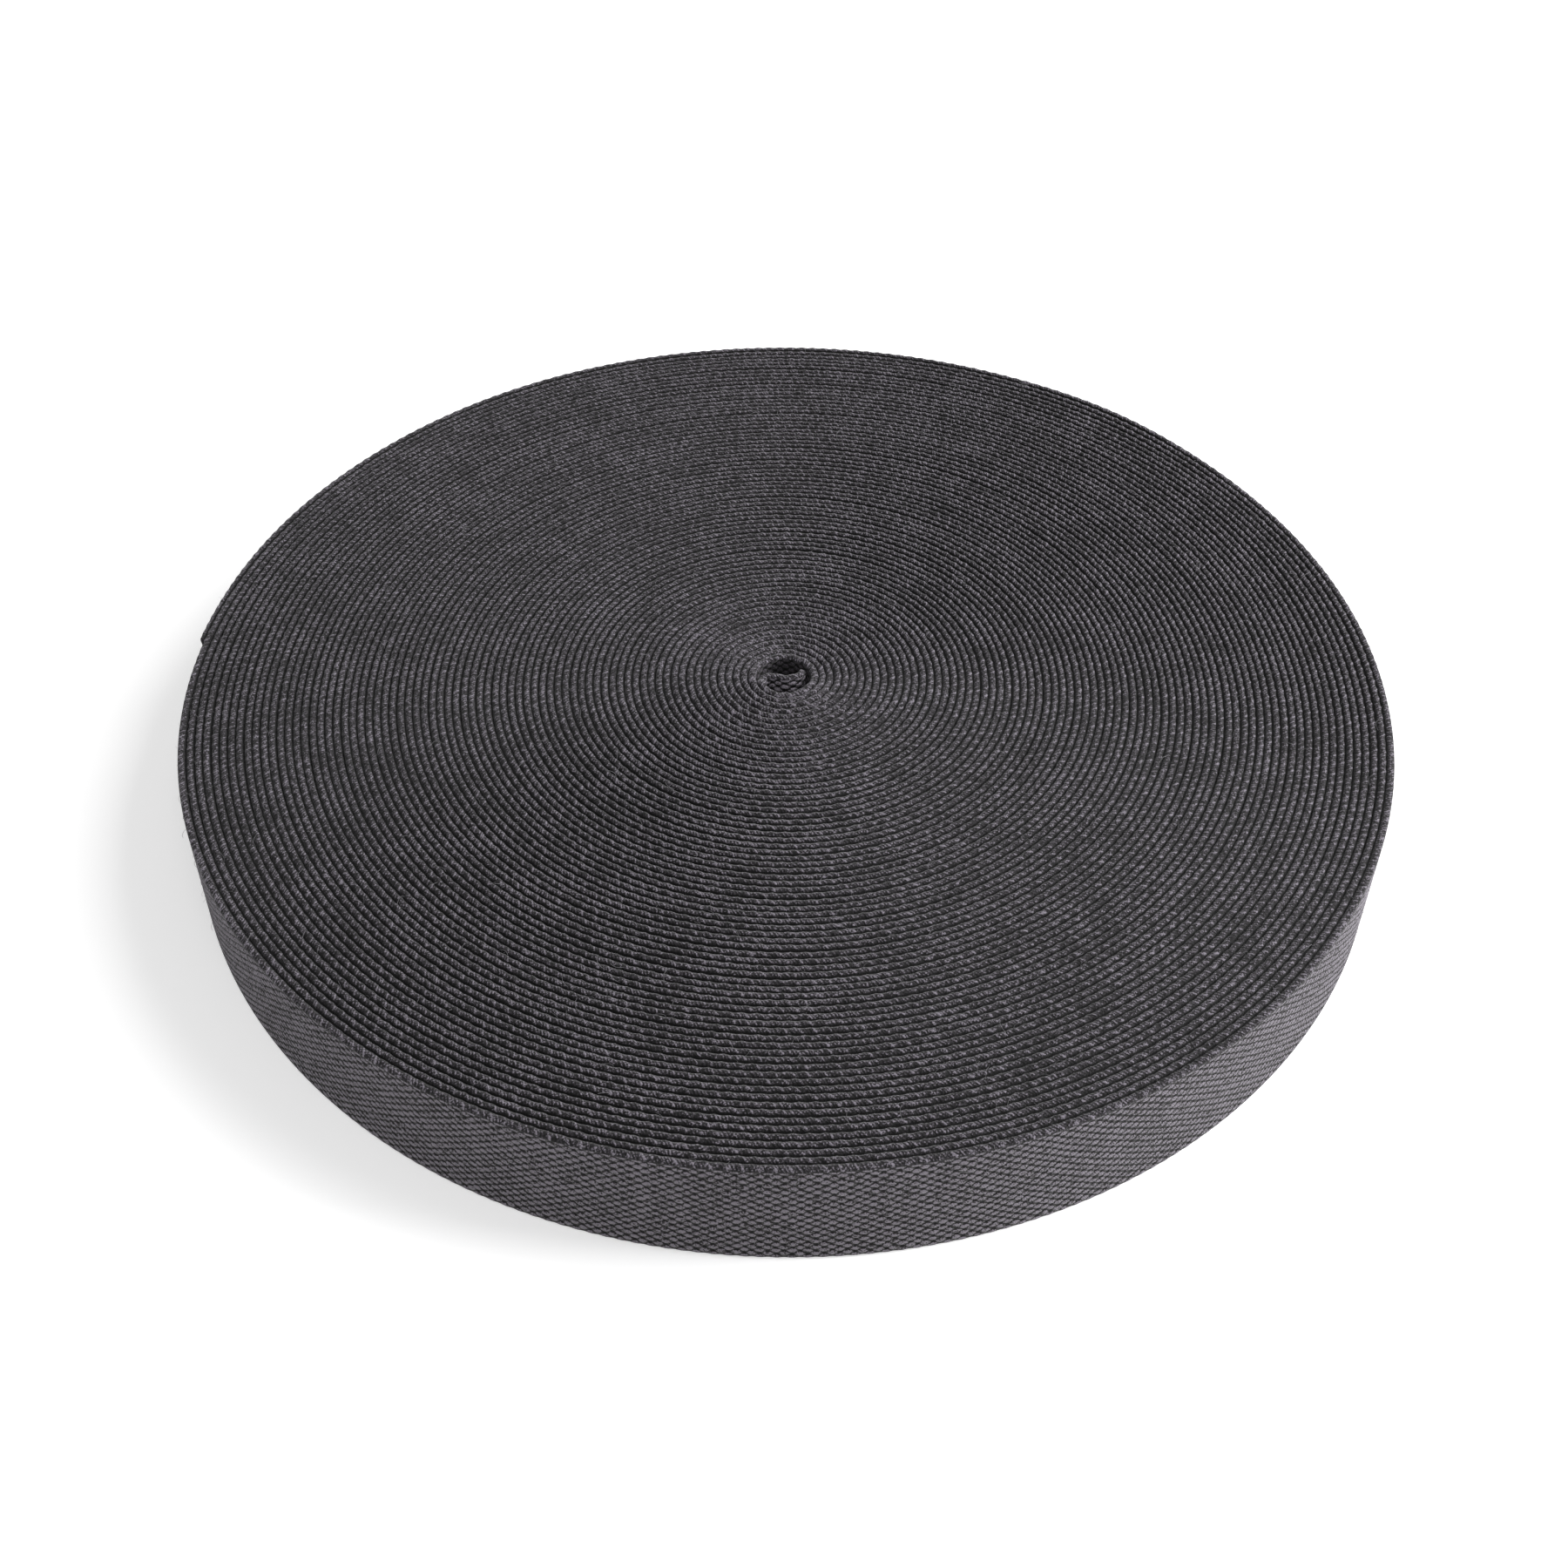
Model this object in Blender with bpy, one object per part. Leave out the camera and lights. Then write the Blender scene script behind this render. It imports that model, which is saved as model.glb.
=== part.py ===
"""Roll of cotton webbing lying flat on its side, in metres, +Z up.

One long woven tape is wound edge up into a flat disc. The disc is one solid, whose upper face
carries the tape's own turns as a spiral of rounded edges. The tape's inner end stands loose
across the small hole in the middle and is a solid of its own. The origin is at the middle of
the face that the roll lies on.
"""
import math
from typing import NamedTuple

import bmesh
import bpy
import mathutils

# Driving dimensions, in metres and degrees
OUTER_RADIUS = 0.184
TAPE_WIDTH = 0.039
HOLE_RADIUS = 0.0068
START_ANGLE = 200.0
END_ANGLE = 175.0
WHOLE_TURNS = 74

# The tape leaves START_ANGLE inside the roll, winds counter-clockwise and ends at END_ANGLE.
TURNS = WHOLE_TURNS + (END_ANGLE - START_ANGLE) / 360.0
PITCH = (OUTER_RADIUS - HOLE_RADIUS) / (TURNS + 1.0)

# The rounded edges of the turns, with the dark groove between two of them
GROOVE_DEPTH = 0.0009
RIM_DROP = 0.0010
BASE_INSET = 0.0008
BASE_RISE = 0.0009

# The pressed outer end is thinner than the rest of the tape.
END_THINNING = 0.0011
END_TAPER_ANGLE = 24.0

# How finely the turns are drawn: the most that a straight stretch leaves its arc
CHORD_ERROR = 0.00055
OUTER_TURN_POINTS = 120
HOLE_POINTS = 24

# The loose inner end: a strip of the same tape, 0.3 mm or more clear of the hole's wall
STRIP_THICKNESS = 0.0021
STRIP_DROP = 0.0012
STRIP_LIFT = 0.0004
STRIP_ROUNDING = 0.0006
STRIP_POINTS_PER_SPAN = 4

CHARCOAL = (0.045, 0.044, 0.046)

MILLIMETRE = 0.001


class Wave(NamedTuple):
    """A slow rise and fall of the upper face, where the turns stand unevenly."""

    height: float
    lobes: int
    radial_waves: float
    phase: float


class RoutePoint(NamedTuple):
    """A point on the middle line of the loose inner end, from the roll's axis."""

    right: float
    back: float


UPPER_FACE_WAVES = (
    Wave(height=0.00035, lobes=2, radial_waves=0.5, phase=40.0),
    Wave(height=0.00030, lobes=3, radial_waves=1.5, phase=110.0),
    Wave(height=0.00022, lobes=1, radial_waves=4.0, phase=0.0),
    Wave(height=0.00015, lobes=5, radial_waves=7.0, phase=75.0),
)

# From the root at the innermost turn, across the hole, to the free tip that curls back
STRIP_ROUTE = (
    RoutePoint(right=-7.03 * MILLIMETRE, back=-2.15 * MILLIMETRE),
    RoutePoint(right=-7.03 * MILLIMETRE, back=-0.85 * MILLIMETRE),
    RoutePoint(right=-6.20 * MILLIMETRE, back=0.55 * MILLIMETRE),
    RoutePoint(right=-4.50 * MILLIMETRE, back=1.00 * MILLIMETRE),
    RoutePoint(right=-2.20 * MILLIMETRE, back=0.50 * MILLIMETRE),
    RoutePoint(right=0.40 * MILLIMETRE, back=0.05 * MILLIMETRE),
    RoutePoint(right=2.90 * MILLIMETRE, back=0.65 * MILLIMETRE),
    RoutePoint(right=4.70 * MILLIMETRE, back=1.95 * MILLIMETRE),
    RoutePoint(right=5.30 * MILLIMETRE, back=3.10 * MILLIMETRE),
)


def clear_scene():
    """Remove the objects of the open scene."""
    for item in list(bpy.data.objects):
        bpy.data.objects.remove(item, do_unlink=True)


def cotton_material(name, colour, roughness):
    """Return a Principled material for dyed cotton."""
    material = bpy.data.materials.new(name)
    material.use_nodes = True
    shader = material.node_tree.nodes["Principled BSDF"]
    shader.inputs["Base Color"].default_value = (*colour, 1.0)
    shader.inputs["Roughness"].default_value = roughness
    shader.inputs["Metallic"].default_value = 0.0
    return material


def add_object(name, shape, material):
    """Turn a bmesh into a smooth object with one material."""
    bmesh.ops.recalc_face_normals(shape, faces=shape.faces)
    mesh = bpy.data.meshes.new(name)
    shape.to_mesh(mesh)
    shape.free()
    mesh.materials.append(material)
    mesh.shade_smooth()
    mesh.set_sharp_from_angle(angle=math.radians(35.0))
    item = bpy.data.objects.new(name, mesh)
    bpy.context.scene.collection.objects.link(item)
    return item


def turn_radius(winding):
    """Radius of the tape's middle line after a winding angle in degrees from the start."""
    return HOLE_RADIUS + PITCH * (0.5 + winding / 360.0)


def end_thinning(winding):
    """How much the pressed outer end has drawn in at a winding angle."""
    left = TURNS * 360.0 - winding
    share = max(0.0, 1.0 - left / END_TAPER_ANGLE)
    return END_THINNING * share * share * (3.0 - 2.0 * share)


def upper_face_height(radius, angle):
    """Height of the tape's upper edges at a place on the disc."""
    height = TAPE_WIDTH
    for wave in UPPER_FACE_WAVES:
        turn = wave.lobes * angle + 360.0 * wave.radial_waves * radius / OUTER_RADIUS + wave.phase
        height += wave.height * (math.cos(math.radians(turn)) - 1.0) / 2.0
    return height


def winding_samples():
    """Winding angles of the spiral's points, closer together where the turns are wide."""
    samples = [0.0]
    for turn in range(WHOLE_TURNS):
        finish = 360.0 * (TURNS - WHOLE_TURNS + 1.0 + turn)
        start = samples[-1]
        chord = math.sqrt(8.0 * CHORD_ERROR / turn_radius(finish))
        count = math.ceil(math.radians(finish - start) / chord)
        if turn == WHOLE_TURNS - 1:
            count = OUTER_TURN_POINTS
        samples += [start + (finish - start) * (index + 1) / count for index in range(count)]
    return samples


def place(shape, radius, winding, height):
    """Add a point at a radius, winding angle and height."""
    angle = math.radians(START_ANGLE + winding)
    return shape.verts.new((radius * math.cos(angle), radius * math.sin(angle), height))


def edge_line(shape, windings, shift, drop):
    """Add a line of (winding angle, point) along the groove outside the turn at each winding."""
    line = []
    for winding in windings:
        radius = turn_radius(winding) + 0.5 * PITCH
        height = upper_face_height(radius, START_ANGLE + winding) - drop
        point = place(shape, radius - end_thinning(winding), winding, height)
        line.append((winding + shift, point))
    return line


def ridge_line(shape, windings):
    """Add a line of (winding angle, point) along the tape's upper edge."""
    line = []
    for winding in windings:
        radius = turn_radius(winding)
        height = upper_face_height(radius, START_ANGLE + winding)
        point = place(shape, radius - 0.5 * end_thinning(winding), winding, height)
        line.append((winding, point))
    return line


def zip_lines(shape, first, second):
    """Join two lines of (winding angle, point) with triangles, always the nearer point next."""
    near = 0
    far = 0
    while near < len(first) - 1 or far < len(second) - 1:
        take_first = far == len(second) - 1
        if near < len(first) - 1 and not take_first:
            take_first = first[near + 1][0] <= second[far + 1][0]
        if take_first:
            shape.faces.new((first[near][1], second[far][1], first[near + 1][1]))
            near += 1
        else:
            shape.faces.new((first[near][1], second[far][1], second[far + 1][1]))
            far += 1


def closed_line(line, step_point):
    """Close a boundary of one turn over its radial step."""
    return [*line, (line[-1][0], step_point), (line[0][0] + 360.0, line[0][1])]


def copy_line(shape, line, inset, height):
    """Repeat a closed boundary at another height, with its radius made smaller by an inset."""
    copies = []
    for winding, point in line[:-1]:
        radius = math.hypot(point.co.x, point.co.y)
        scale = (radius - inset) / radius
        copies.append((winding, shape.verts.new((point.co.x * scale, point.co.y * scale, height))))
    copies.append((line[-1][0], copies[0][1]))
    return copies


def wall_between(shape, upper, lower):
    """Join two boundaries that have the same number of points."""
    for index in range(len(upper) - 1):
        shape.faces.new((upper[index][1], lower[index][1], lower[index + 1][1], upper[index + 1][1]))


def start_ring_at_zero(line):
    """Turn a closed boundary's list round, so that it starts at the first point after winding 0."""
    ring = [(winding % 360.0, point) for winding, point in line[:-1]]
    first = next(i for i in range(len(ring)) if ring[i][0] < ring[i - 1][0])
    ring = ring[first:] + ring[:first]
    return [*ring, (ring[0][0] + 360.0, ring[0][1])]


def close_below(shape, hole_line, outer_line):
    """Drop the hole's wall and the outer wall to the flat base and close it."""
    outer_low = copy_line(shape, outer_line, 0.0, BASE_RISE)
    outer_base = copy_line(shape, outer_line, BASE_INSET, 0.0)
    hole_low = copy_line(shape, hole_line, 0.0, BASE_RISE)
    hole_base = copy_line(shape, hole_line, -BASE_INSET, 0.0)
    wall_between(shape, outer_line, outer_low)
    wall_between(shape, outer_low, outer_base)
    wall_between(shape, hole_line, hole_low)
    wall_between(shape, hole_low, hole_base)
    zip_lines(shape, hole_base, start_ring_at_zero(outer_base))


def build_wound_form():
    """Build the disc of wound tape with its spiral upper face, outer wall, base and hole."""
    shape = bmesh.new()
    samples = winding_samples()
    last_turn = len(samples) - 1 - OUTER_TURN_POINTS
    hole_windings = [360.0 * index / HOLE_POINTS - 360.0 for index in range(HOLE_POINTS)]
    hole_edge = edge_line(shape, hole_windings, 360.0, RIM_DROP)
    inner_grooves = edge_line(shape, samples[:last_turn], 360.0, GROOVE_DEPTH)
    outer_edge = edge_line(shape, samples[last_turn:], 0.0, RIM_DROP)
    ridges = ridge_line(shape, samples)
    grooves = inner_grooves + outer_edge
    for index in range(len(samples) - 1):
        inner = (ridges[index][1], ridges[index + 1][1])
        shape.faces.new((*inner, grooves[index + 1][1], grooves[index][1]))
    inner_line = hole_edge + inner_grooves + [(TURNS * 360.0, outer_edge[0][1])]
    zip_lines(shape, inner_line, ridges)
    hole_line = closed_line([*hole_edge, inner_grooves[0]], ridges[0][1])
    outer_line = closed_line(outer_edge, ridges[-1][1])
    close_below(shape, hole_line, outer_line)
    return shape


def smooth_route(points, points_per_span):
    """Points along a smooth curve through the route's points."""
    padded = [points[0], *points, points[-1]]
    route = []
    for before, start, finish, after in zip(padded, padded[1:], padded[2:], padded[3:]):
        for step in range(points_per_span):
            share = step / points_per_span
            route.append(curve_point(before, start, finish, after, share))
    route.append(mathutils.Vector(points[-1]))
    return route


def curve_point(before, start, finish, after, share):
    """A point of a Catmull-Rom curve between start and finish."""
    before, start, finish, after = (mathutils.Vector(p) for p in (before, start, finish, after))
    square = share * share
    cube = square * share
    return 0.5 * (
        2.0 * start
        + share * (finish - before)
        + square * (2.0 * before - 5.0 * start + 4.0 * finish - after)
        + cube * (3.0 * start - before - 3.0 * finish + after)
    )


def strip_section():
    """The strip's section as (across its thickness, up its width), round at its two edges."""
    half = 0.5 * STRIP_THICKNESS
    low = STRIP_LIFT
    high = TAPE_WIDTH - STRIP_DROP
    shoulder = half - STRIP_ROUNDING
    return (
        (half, low + STRIP_ROUNDING),
        (half, high - STRIP_ROUNDING),
        (shoulder, high),
        (-shoulder, high),
        (-half, high - STRIP_ROUNDING),
        (-half, low + STRIP_ROUNDING),
        (-shoulder, low),
        (shoulder, low),
    )


def build_inner_end():
    """Build the loose inner end as a strip that stands on its edge along its route."""
    shape = bmesh.new()
    route = smooth_route(STRIP_ROUTE, STRIP_POINTS_PER_SPAN)
    section = strip_section()
    rings = []
    for index, point in enumerate(route):
        ahead = route[min(index + 1, len(route) - 1)]
        behind = route[max(index - 1, 0)]
        along = (ahead - behind).normalized()
        across = mathutils.Vector((-along.y, along.x))
        ring = [shape.verts.new((*(point + across * side), up)) for side, up in section]
        rings.append(ring)
    for ring, following in zip(rings, rings[1:]):
        for index in range(len(section)):
            after = (index + 1) % len(section)
            shape.faces.new((ring[index], ring[after], following[after], following[index]))
    shape.faces.new(rings[0])
    shape.faces.new(rings[-1])
    return shape


def centre_on_axes(items):
    """Move the objects' meshes together until the whole roll's box is centred on the origin."""
    corners = [item.matrix_world @ vert.co for item in items for vert in item.data.vertices]
    middle_x = 0.5 * (min(corner.x for corner in corners) + max(corner.x for corner in corners))
    middle_y = 0.5 * (min(corner.y for corner in corners) + max(corner.y for corner in corners))
    for item in items:
        item.data.transform(mathutils.Matrix.Translation((-middle_x, -middle_y, 0.0)))


def main():
    """Build the two solids of the roll."""
    clear_scene()
    charcoal = cotton_material("charcoal_cotton", CHARCOAL, 0.92)
    wound_form = add_object("webbing_roll", build_wound_form(), charcoal)
    inner_end = add_object("inner_end", build_inner_end(), charcoal)
    centre_on_axes((wound_form, inner_end))


main()
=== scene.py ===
"""Looks of a flat roll of charcoal cotton webbing, lying on its side.

The roll is one woven tape. Its turns are swept along the tape's own spiral, with a weft loop at
each pick of the upper and lower edge. The outermost turn and the loose inner end also carry the
raised warp of the tape's faces. Sizes are metres unless a name says millimetres or degrees.
"""
import logging
import math
from dataclasses import dataclass
from enum import Enum

import bmesh
import bpy
import mathutils
import numpy as np
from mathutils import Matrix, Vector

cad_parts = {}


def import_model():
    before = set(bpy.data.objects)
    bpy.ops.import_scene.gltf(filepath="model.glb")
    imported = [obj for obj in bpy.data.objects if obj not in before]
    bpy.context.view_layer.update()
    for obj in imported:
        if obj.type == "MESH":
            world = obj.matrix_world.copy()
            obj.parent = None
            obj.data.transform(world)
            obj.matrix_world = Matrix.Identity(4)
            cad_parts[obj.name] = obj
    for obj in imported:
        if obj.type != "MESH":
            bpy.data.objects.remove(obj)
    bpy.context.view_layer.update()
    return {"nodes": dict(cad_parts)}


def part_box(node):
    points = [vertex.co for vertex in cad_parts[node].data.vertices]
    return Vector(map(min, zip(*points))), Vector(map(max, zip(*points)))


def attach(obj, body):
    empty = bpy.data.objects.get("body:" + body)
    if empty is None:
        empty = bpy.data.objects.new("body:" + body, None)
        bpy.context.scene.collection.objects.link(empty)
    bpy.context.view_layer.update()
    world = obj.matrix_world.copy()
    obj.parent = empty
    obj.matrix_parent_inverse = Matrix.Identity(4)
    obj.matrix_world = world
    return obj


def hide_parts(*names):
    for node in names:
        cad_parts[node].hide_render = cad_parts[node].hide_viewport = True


LOG = logging.getLogger("webbing_roll")
MILLIMETRE = 0.001
BODY = "root"


class FaceRelief(Enum):
    """Which faces of a stretch of tape carry raised warp."""

    OUTER = "outer"
    BOTH = "both"


@dataclass(frozen=True)
class Wave:
    """A slow rise and fall of the turns' edges round and across the roll."""

    height: float
    lobes: int
    radial_waves: float
    phase: float


@dataclass(frozen=True)
class Swell:
    """A place round the rim where the outer turns stand out or in.

    Attributes:
        reach: how far they stand out, below 0 where they stand in.
        angle: middle of the place in degrees.
        width: how far it spreads to each side, in degrees.
    """

    reach: float
    angle: float
    width: float


@dataclass(frozen=True)
class Tape:
    """The webbing itself: its size and the spacing of its yarns."""

    width: float = 0.039
    thickness: float = 0.0023
    edge_depth: float = 0.0018
    pick_spacing: float = 2.01 * MILLIMETRE
    warp_spacing: float = 1.37 * MILLIMETRE
    warp_count: int = 27
    warp_height: float = 0.55 * MILLIMETRE
    loop_height: float = 0.24 * MILLIMETRE
    loop_swing: float = 0.11 * MILLIMETRE
    pick_rise: float = 0.05 * MILLIMETRE

    @property
    def float_spacing(self) -> float:
        """Distance along the tape between two floats of one warp cord."""
        return 2.0 * self.pick_spacing


@dataclass(frozen=True)
class Winding:
    """The spiral that the tape lies in, seen from above, with its rise and fall."""

    tape: Tape = Tape()
    outer_radius: float = 0.184
    hole_radius: float = 0.0068
    start_angle: float = 200.0
    end_angle: float = 175.0
    whole_turns: int = 74
    end_thinning: float = 0.0011
    end_taper_degrees: float = 24.0
    waves: tuple[Wave, ...] = (
        Wave(0.00035, 2, 0.5, 40.0),
        Wave(0.00030, 3, 1.5, 110.0),
        Wave(0.00022, 1, 4.0, 0.0),
        Wave(0.00015, 5, 7.0, 75.0),
    )
    swells: tuple[Swell, ...] = (
        Swell(0.00100, 51.0, 7.0),
        Swell(0.00035, 72.0, 22.0),
        Swell(-0.00075, 146.0, 14.0),
        Swell(0.00045, 186.0, 14.0),
        Swell(0.00030, 300.0, 20.0),
    )
    swelling_turns: float = 9.0
    turn_unevenness: float = 0.00022
    sideways_unevenness: float = 0.00007

    @property
    def turns(self) -> float:
        """Number of turns from the root of the inner end to the cut outer end."""
        return self.whole_turns + (self.end_angle - self.start_angle) / 360.0

    @property
    def pitch(self) -> float:
        """Distance between neighbouring turns."""
        return (self.outer_radius - self.hole_radius) / (self.turns + 1.0)

    @property
    def first_radius(self) -> float:
        """Radius of the tape's middle line where the spiral starts."""
        return self.hole_radius + 0.5 * self.pitch

    @property
    def length(self) -> float:
        """Length of the wound tape."""
        return self.length_at(math.tau * self.turns)

    def length_at(self, winding: float) -> float:
        """Length of tape wound up to a winding angle.

        Args:
            winding: winding angle in radians from the spiral's start.

        Returns:
            The length in metres.
        """
        growth = self.pitch / math.tau
        return self.first_radius * winding + 0.5 * growth * winding * winding

    def winding_at(self, length: np.ndarray) -> np.ndarray:
        """Winding angles in radians at lengths along the tape.

        Args:
            length: lengths in metres from the spiral's start.

        Returns:
            The winding angles.
        """
        growth = self.pitch / math.tau
        return (np.sqrt(self.first_radius**2 + 2.0 * growth * length) - self.first_radius) / growth

    def thinning(self, winding: np.ndarray) -> np.ndarray:
        """How much thinner the pressed outer end is at winding angles in radians."""
        left = np.degrees(math.tau * self.turns - winding)
        share = np.clip(1.0 - left / self.end_taper_degrees, 0.0, 1.0)
        return self.end_thinning * share * share * (3.0 - 2.0 * share)

    def radius(self, winding: np.ndarray) -> np.ndarray:
        """Radius of the tape's middle line at winding angles in radians."""
        even = self.first_radius + self.pitch * winding / math.tau - 0.5 * self.thinning(winding)
        swing = np.sin(0.873 * winding + 0.4) * np.sin(2.391 * winding)
        return even + self.swelling(winding) + self.sideways_unevenness * swing

    def swelling(self, winding: np.ndarray) -> np.ndarray:
        """How far the outer turns stand out at winding angles in radians."""
        angle = np.degrees(winding) + self.start_angle
        total = np.zeros_like(winding)
        for swell in self.swells:
            off = (angle - swell.angle + 180.0) % 360.0 - 180.0
            total += swell.reach * np.exp(-0.5 * (off / swell.width) ** 2)
        share = np.clip(1.0 - (self.turns - winding / math.tau) / self.swelling_turns, 0.0, 1.0)
        return total * share * share

    def upper_edge(self, radius: np.ndarray, winding: np.ndarray) -> np.ndarray:
        """Height of the tape's upper edge.

        Args:
            radius: distances from the roll's axis.
            winding: winding angles in radians.

        Returns:
            Heights above the surface that the roll lies on.
        """
        angle = winding + math.radians(self.start_angle)
        height = np.full_like(radius, self.tape.width)
        for wave in self.waves:
            across = math.tau * wave.radial_waves * radius / self.outer_radius
            turn = wave.lobes * angle + across + math.radians(wave.phase)
            height += wave.height * (np.cos(turn) - 1.0) / 2.0
        jitter = np.sin(1.371 * winding) * np.sin(0.617 * winding + 1.1)
        slow = np.sin(2.713 * winding + 0.5) * np.sin(0.291 * winding)
        return height - self.turn_unevenness * (1.0 + 0.6 * jitter + 0.4 * slow)

    def lower_edge(self, winding: np.ndarray) -> np.ndarray:
        """Height of the tape's lower edge, on or just above the surface."""
        rise = np.sin(1.113 * winding) * np.sin(0.531 * winding + 0.7)
        return self.tape.loop_height + 0.5 * self.turn_unevenness * (1.0 + rise)


@dataclass
class Line:
    """A stretch of the tape's middle line with what the tape does along it.

    Attributes:
        points: places of the middle line, one row of x and y each.
        outward: level directions across the tape, towards its outer face.
        along: length along the tape at each point.
        thickness: the tape's thickness at each point.
        upper: height of the upper edge.
        lower: height of the lower edge.
    """

    points: np.ndarray
    outward: np.ndarray
    along: np.ndarray
    thickness: np.ndarray
    upper: np.ndarray
    lower: np.ndarray


def find_axis(winding: Winding, node: str) -> np.ndarray:
    """Find where the spiral's axis stands, from the box of the node that holds it.

    Args:
        winding: the spiral.
        node: name of the CAD node of the wound form.

    Returns:
        The axis as x and y.
    """
    low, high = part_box(node)
    middle = np.array([0.5 * (low.x + high.x), 0.5 * (low.y + high.y)])
    last_turn = np.linspace(math.tau * (winding.turns - 1.0), math.tau * winding.turns, 721)
    even = winding.first_radius + winding.pitch * (last_turn / math.tau + 0.5)
    edge = even - winding.thinning(last_turn)
    angle = last_turn + math.radians(winding.start_angle)
    outline = np.column_stack([edge * np.cos(angle), edge * np.sin(angle)])
    return middle - 0.5 * (outline.min(axis=0) + outline.max(axis=0))


def spiral_line(winding: Winding, axis: np.ndarray, along: np.ndarray) -> Line:
    """Lay out a stretch of the spiral.

    Args:
        winding: the spiral.
        axis: place of its axis.
        along: lengths along the tape.

    Returns:
        The stretch of middle line.
    """
    turned = winding.winding_at(along)
    radius = winding.radius(turned)
    angle = turned + math.radians(winding.start_angle)
    outward = np.column_stack([np.cos(angle), np.sin(angle)])
    thickness = winding.tape.thickness - winding.thinning(turned)
    upper = winding.upper_edge(radius, turned)
    lower = winding.lower_edge(turned)
    return Line(axis + outward * radius[:, None], outward, along, thickness, upper, lower)


def to_linear(hex_colour: str) -> tuple[float, float, float, float]:
    """Turn an sRGB hex colour into Blender's linear colour.

    Args:
        hex_colour: six hex digits.

    Returns:
        Red, green, blue and alpha.
    """
    parts = [int(hex_colour[place:place + 2], 16) / 255.0 for place in (0, 2, 4)]
    linear = [part / 12.92 if part <= 0.04045 else ((part + 0.055) / 1.055) ** 2.4 for part in parts]
    return (*linear, 1.0)


def add_node(tree: bpy.types.NodeTree, kind: str, settings: dict | None = None,
             links: dict | None = None) -> bpy.types.Node:
    """Add a node with its settings, values and links.

    Args:
        tree: the tree that gets the node.
        kind: the node's type.
        settings: attributes of the node.
        links: input name or number, to a value, a socket, or a node whose first output is meant.

    Returns:
        The new node.
    """
    made = tree.nodes.new(kind)
    for name, value in (settings or {}).items():
        setattr(made, name, value)
    for name, value in (links or {}).items():
        if isinstance(value, bpy.types.Node):
            value = value.outputs[0]
        if isinstance(value, bpy.types.NodeSocket):
            tree.links.new(value, made.inputs[name])
        else:
            made.inputs[name].default_value = value
    return made


@dataclass(frozen=True)
class CottonYarn:
    """Spun and dyed cotton yarn: dull, a little fuzzy, uneven in shade from yarn to yarn.

    The fuzz gives a soft sheen at grazing angles, and the spinning gives strands and fibres of lighter and
    darker tone.
    """

    # The darkest colour is painted shade between yarns; the brightest is partly paler fibres and partly painted
    # highlight.
    gap_shade: str = "020202"
    dark: str = "121012"
    light: str = "373436"
    bright_and_highlight: str = "716c74"
    roughness: float = 0.85
    sheen: float = 0.12
    sheen_roughness: float = 0.5
    specular: float = 0.2
    shade_patch_mm: float = 11.0
    strand_mm: float = 1.3
    fibre_mm: float = 0.45

    def shader(self, tree: bpy.types.NodeTree, height: bpy.types.NodeSocket,
               place: bpy.types.NodeSocket, bump_mm: float) -> None:
        """Finish a material from the height of its yarns: the height sets the bump, and the colour, with
        painted shade between the yarns and painted highlight on top of them.

        Args:
            tree: the material's tree.
            height: 0 between yarns, 1 on top of one.
            place: coordinates for the strands, fibres and patches of shade.
            bump_mm: how far the height stands up as bump.
        """
        noises = {}
        for name, size in (("patch", self.shade_patch_mm), ("strand", self.strand_mm), ("fibre", self.fibre_mm)):
            noises[name] = add_node(tree, "ShaderNodeTexNoise", {"noise_dimensions": "3D"}, {
                "Vector": place, "Scale": 1000.0 / size, "Detail": 2.0, "Roughness": 0.6, "Distortion": 0.4})
        off = add_node(tree, "ShaderNodeMath", {"operation": "SUBTRACT"}, {0: noises["strand"], 1: 0.5})
        away = add_node(tree, "ShaderNodeMath", {"operation": "ABSOLUTE"}, {0: off})
        strands = add_node(tree, "ShaderNodeMapRange", {}, {
            "Value": away, "From Min": 0.0, "From Max": 0.18, "To Min": 1.45, "To Max": 0.55})
        fibres = add_node(tree, "ShaderNodeMapRange", {}, {
            "Value": noises["fibre"], "From Min": 0.32, "From Max": 0.74, "To Min": 0.50, "To Max": 1.80})
        patches = add_node(tree, "ShaderNodeMapRange", {}, {
            "Value": noises["patch"], "From Min": 0.3, "From Max": 0.7, "To Min": 0.86, "To Max": 1.10})
        toned = height
        for part in (strands, fibres, patches):
            toned = add_node(tree, "ShaderNodeMath", {"operation": "MULTIPLY"}, {0: toned, 1: part})
        # The ramp paints light and shade from the height: low height runs to the near-black colour as painted
        # shade between yarns, high height to the brightest colour, partly paler fibres and partly painted
        # highlight on top of the yarns.
        ramp = add_node(tree, "ShaderNodeValToRGB", {}, {"Fac": toned})
        ramp.color_ramp.elements[0].color = to_linear(self.gap_shade)
        ramp.color_ramp.elements[1].color = to_linear(self.bright_and_highlight)
        for spot, colour in ((0.30, self.dark), (0.72, self.light)):
            ramp.color_ramp.elements.new(spot).color = to_linear(colour)
        rough = add_node(tree, "ShaderNodeMath", {"operation": "MULTIPLY_ADD"}, {
            0: strands, 1: 0.30, 2: height})
        surface = add_node(tree, "ShaderNodeMath", {"operation": "MULTIPLY_ADD"}, {
            0: noises["fibre"], 1: 0.25, 2: rough})
        bump = add_node(tree, "ShaderNodeBump", {}, {
            "Height": surface, "Distance": bump_mm * MILLIMETRE, "Strength": 0.9})
        yarn = add_node(tree, "ShaderNodeBsdfPrincipled", {}, {
            "Base Color": ramp, "Roughness": self.roughness, "Sheen Weight": self.sheen,
            "Sheen Roughness": self.sheen_roughness, "Specular IOR Level": self.specular, "Normal": bump})
        add_node(tree, "ShaderNodeOutputMaterial", {}, {"Surface": yarn})


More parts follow.
